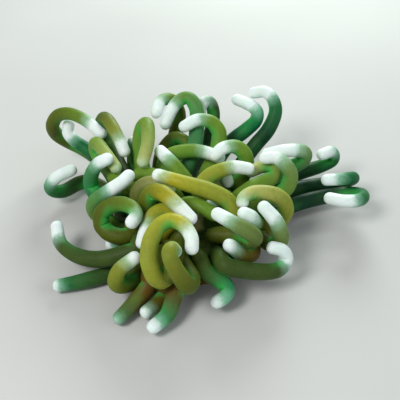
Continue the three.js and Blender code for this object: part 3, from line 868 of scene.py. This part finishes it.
def wart_material(colours):
    """The column's brown, clouded with olive."""
    nodes = Nodes("warts")
    cloud = nodes.noise(300, 2)
    skin = nodes.mix(nodes.mapped(cloud, 0.3, 0.7), shade_of(colours, "column"), shade_of(colours, "olive"))
    nodes.link(skin, nodes.shader.inputs["Base Color"])
    nodes.link(nodes.bump(nodes.noise(2500, 2), 0.0001, 0.3), nodes.shader.inputs["Normal"])
    nodes.shader.inputs["Roughness"].default_value = 0.45
    nodes.shader.inputs["Subsurface Weight"].default_value = 0.3
    nodes.shader.inputs["Subsurface Scale"].default_value = 0.001
    return nodes.material


FLOOR_SHADES = ((0.5, 0.5, 0.49), (0.54, 0.54, 0.53))


def floor_material():
    """A plain pale floor, faintly clouded."""
    nodes = Nodes("pale_floor")
    tint = nodes.mix(nodes.mapped(nodes.noise(6, 2), 0.3, 0.7), *FLOOR_SHADES)
    nodes.link(tint, nodes.shader.inputs["Base Color"])
    nodes.shader.inputs["Roughness"].default_value = 0.85
    return nodes.material


# ---- The pieces ------------------------------------------------------------------------------
TIP_MARK = 3.0  # the most that "along" can be, as on the trunk: far from any white end
TURN_POWER = 1.4  # how soon a shaft turns to its root's shade
ROOT_SHADE_POWER = 1.5  # how late the painted shade darkens a root


def dressed(number, route, sizes, colours):
    """One tentacle's skin, with its shades kept on it."""
    corners, faces, along, inside = tube(route, sizes)
    made = mesh_object(f"tube_{number}", corners, faces)
    white = listed(WHITE_ENDS, route.name, USUAL_WHITE_END) * MM
    near = np.array(shade_of(colours, listed(NEAR_SHADES, route.name, USUAL_NEAR)))
    root_shade = listed(FAR_SHADES, route.name, USUAL_FAR)
    far = np.array(shade_of(colours, root_shade))
    turn = sizes.turn_length * (sizes.brown_share if root_shade == "brown" else 1)
    turned = 1 - np.clip(1 - (along - max(white, 0)) / turn, 0, 1)[:, None] ** TURN_POWER
    red, green, blue = (near + (far - near) * turned).T
    # How much painted shade darkens each corner, from none away from the root to full at the disc
    from_root = np.clip((route.length - along) / sizes.shade_length, 0, 1)
    root = (1 - from_root) ** ROOT_SHADE_POWER
    marks = np.minimum(1 + (along - white) / sizes.fade_length, TIP_MARK)
    shades = {"red": red, "green": green, "blue": blue}
    set_layers(made.data, number=number, along=marks, flesh=0, root=root, glow=inside, **shades)
    return made


class ANEMONE_OT_skin(bpy.types.Operator):
    """Grows one closed skin over the trunk and every tentacle"""

    bl_idname = "anemone.skin"
    bl_label = "Grow skin"

    def execute(self, context):
        sizes = context.scene.anemone_sizes
        colours = context.scene.anemone_colours
        routes = [Route(*route, sizes) for route in tentacle_routes()]
        if len(routes) != TENTACLE_COUNT:
            raise RuntimeError(f"found {len(routes)} tentacles, not {TENTACLE_COUNT}")
        skin = mesh_object("skin", *trunk_shape())
        shades = dict(zip(("red", "green", "blue"), shade_of(colours, USUAL_FAR)))
        set_layers(skin.data, number=0, along=TIP_MARK, flesh=1, root=1, glow=0, **shades)
        union(skin, [dressed(number, route, sizes, colours) for number, route in enumerate(routes, start=1)])
        fill_new_corners(skin.data)
        soften_roots(skin.data, sizes.fillet)
        skin.data.shade_smooth()
        skin.data.materials.clear()
        skin.data.materials.append(flesh_material(colours))
        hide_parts(*sorted(frame["nodes"]))
        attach(skin, BODY)
        return {"FINISHED"}


COLUMN_POINTS = slice(5, 10)  # of the trunk's half-section
WART_SPAN = (0.12, 0.96)  # of the column's side, from the sole up
WART_SPREAD = (0.6, 1.15)  # of the warts' sizes
WART_SEED = 11


def wart_bed(sizes):
    """The places of the warts: rows of points up the column."""
    section = np.array(trunk_section())[COLUMN_POINTS]
    line = spline(np.column_stack([section, np.zeros(len(section))]))[:, :2]
    s = lengths_along(line)
    places = np.linspace(*WART_SPAN, sizes.warts) * s[-1]
    points = []
    for row in range(sizes.wart_rows):
        turn = 2 * math.pi * (row + 0.5) / sizes.wart_rows
        for place in places:
            radius = float(np.interp(place, s, line[:, 0]))
            height = float(np.interp(place, s, line[:, 1]))
            points.append((radius * math.cos(turn), radius * math.sin(turn), height))
    return points


def wart_tree(material):
    """Geometry Nodes that set a small ball of uneven size on each point."""
    tree = bpy.data.node_groups.new("wart_rows", "GeometryNodeTree")
    face = tree.interface
    face.new_socket("Geometry", in_out="INPUT", socket_type="NodeSocketGeometry")
    radius = face.new_socket("Wart radius", in_out="INPUT", socket_type="NodeSocketFloat")
    seed = face.new_socket("Seed", in_out="INPUT", socket_type="NodeSocketInt")
    face.new_socket("Geometry", in_out="OUTPUT", socket_type="NodeSocketGeometry")
    add = tree.nodes.new
    start = add("NodeGroupInput")
    end = add("NodeGroupOutput")
    ball = add("GeometryNodeMeshIcoSphere")
    ball.inputs["Subdivisions"].default_value = 2
    uneven = add("FunctionNodeRandomValue")
    uneven.data_type = "FLOAT"
    uneven.inputs[2].default_value, uneven.inputs[3].default_value = WART_SPREAD
    on_points = add("GeometryNodeInstanceOnPoints")
    real = add("GeometryNodeRealizeInstances")
    smooth = add("GeometryNodeSetShadeSmooth")
    finish = add("GeometryNodeSetMaterial")
    finish.inputs["Material"].default_value = material
    link = tree.links.new
    link(start.outputs["Geometry"], on_points.inputs["Points"])
    link(start.outputs["Wart radius"], ball.inputs["Radius"])
    link(start.outputs["Seed"], uneven.inputs["Seed"])
    link(ball.outputs["Mesh"], on_points.inputs["Instance"])
    link(uneven.outputs[1], on_points.inputs["Scale"])
    link(on_points.outputs["Instances"], real.inputs["Geometry"])
    link(real.outputs["Geometry"], smooth.inputs["Geometry"])
    link(smooth.outputs["Geometry"], finish.inputs["Geometry"])
    link(finish.outputs["Geometry"], end.inputs["Geometry"])
    return tree, radius.identifier, seed.identifier


class ANEMONE_OT_warts(bpy.types.Operator):
    """Sets rows of small warts on the column, under the margin"""

    bl_idname = "anemone.warts"
    bl_label = "Set warts"

    def execute(self, context):
        sizes = context.scene.anemone_sizes
        material = wart_material(context.scene.anemone_colours)
        warts = mesh_object("warts", wart_bed(sizes), [])
        tree, radius, seed = wart_tree(material)
        rows = warts.modifiers.new("Rows", "NODES")
        rows.node_group = tree
        rows[radius] = sizes.wart_radius
        rows[seed] = WART_SEED
        made = evaluated_mesh(warts)
        warts.modifiers.remove(rows)
        warts.data = made
        if not made.polygons:
            raise RuntimeError("the warts came out empty")
        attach(warts, BODY)
        return {"FINISHED"}


# ---- The stage -------------------------------------------------------------------------------
CAMERA_AIM = Vector((2.4, 12, 15)) * MM
CAMERA_DISTANCE = 311 * MM
CAMERA_ELEVATION = math.radians(40)
CAMERA_LENS = 70
CAMERA_SENSOR = 36
CAMERA_CLIP = (0.01, 20)
FLOOR_RADIUS = 1.6
FLOOR_SIDES = 96
LIGHT_AIM = (0.0, 0.0, 0.02)
LIGHTS = (  # name, place, size, power and shade
    ("key", (-0.28, -0.30, 0.50), 0.22, 2.7, (1.0, 0.99, 0.97)),
    ("fill", (0.45, -0.25, 0.30), 0.5, 0.7, (0.86, 0.94, 1.0)),
    ("back", (0.10, 0.50, 0.28), 0.3, 3.0, (0.9, 1.0, 0.94)),
)
STUDIO_SHADE = (0.9, 0.93, 0.95, 1)
STUDIO_STRENGTH = 0.38


def lay_floor():
    turns = [2 * math.pi * k / FLOOR_SIDES for k in range(FLOOR_SIDES)]
    rim = [(FLOOR_RADIUS * math.cos(t), FLOOR_RADIUS * math.sin(t), 0) for t in turns]
    floor = mesh_object("floor", rim, [tuple(range(FLOOR_SIDES))])
    floor.data.materials.append(floor_material())


def area_light(name, place, size, power, shade):
    """A round soft light at a place, turned to the anemone."""
    lamp = bpy.data.lights.new(name, "AREA")
    lamp.shape = "DISK"
    lamp.size = size
    lamp.energy = power
    lamp.color = shade
    made = bpy.data.objects.new(name, lamp)
    bpy.context.scene.collection.objects.link(made)
    made.location = place
    made.rotation_mode = "QUATERNION"
    made.rotation_quaternion = (Vector(LIGHT_AIM) - Vector(place)).to_track_quat("-Z", "Y")


def set_studio(scene):
    """Plain pale light from all round."""
    scene.view_settings.view_transform = "Standard"
    world = bpy.data.worlds.new("studio")
    world.use_nodes = True
    ground = world.node_tree.nodes["Background"]
    ground.inputs["Color"].default_value = STUDIO_SHADE
    ground.inputs["Strength"].default_value = STUDIO_STRENGTH
    scene.world = world


def set_camera(scene):
    lens = bpy.data.cameras.new("camera")
    lens.lens = CAMERA_LENS
    lens.sensor_width = CAMERA_SENSOR
    lens.clip_start, lens.clip_end = CAMERA_CLIP
    camera = bpy.data.objects.new("camera", lens)
    scene.collection.objects.link(camera)
    back = Vector((0, -math.cos(CAMERA_ELEVATION), math.sin(CAMERA_ELEVATION)))
    camera.location = CAMERA_AIM + back * CAMERA_DISTANCE
    camera.rotation_mode = "QUATERNION"
    camera.rotation_quaternion = (-back).to_track_quat("-Z", "Y")
    scene.camera = camera


class ANEMONE_OT_stage(bpy.types.Operator):
    """Lays the pale floor and sets the lights and the camera"""

    bl_idname = "anemone.stage"
    bl_label = "Set stage"

    def execute(self, context):
        lay_floor()
        for light in LIGHTS:
            area_light(*light)
        set_studio(context.scene)
        set_camera(context.scene)
        return {"FINISHED"}


class ANEMONE_PT_panel(bpy.types.Panel):
    """Lists the anemone's sizes, colours and pieces"""

    bl_idname = "ANEMONE_PT_panel"
    bl_label = "Sea anemone"
    bl_space_type = "VIEW_3D"
    bl_region_type = "UI"
    bl_category = "Anemone"

    def draw(self, context):
        for group in (context.scene.anemone_sizes, context.scene.anemone_colours):
            for name in group.__annotations__:
                self.layout.prop(group, name)
        for operator in OPERATORS:
            self.layout.operator(operator.bl_idname)


OPERATORS = (ANEMONE_OT_skin, ANEMONE_OT_warts, ANEMONE_OT_stage)
CLASSES = (AnemoneSizes, AnemoneColours, *OPERATORS, ANEMONE_PT_panel)


def register():
    for cls in CLASSES:
        bpy.utils.register_class(cls)
    bpy.types.Scene.anemone_sizes = bpy.props.PointerProperty(type=AnemoneSizes)
    bpy.types.Scene.anemone_colours = bpy.props.PointerProperty(type=AnemoneColours)


def unregister():
    del bpy.types.Scene.anemone_colours
    del bpy.types.Scene.anemone_sizes
    for cls in reversed(CLASSES):
        bpy.utils.unregister_class(cls)


def main():
    register()
    bpy.ops.anemone.skin()
    bpy.ops.anemone.warts()
    bpy.ops.anemone.stage()


if __name__ == "__main__":
    main()
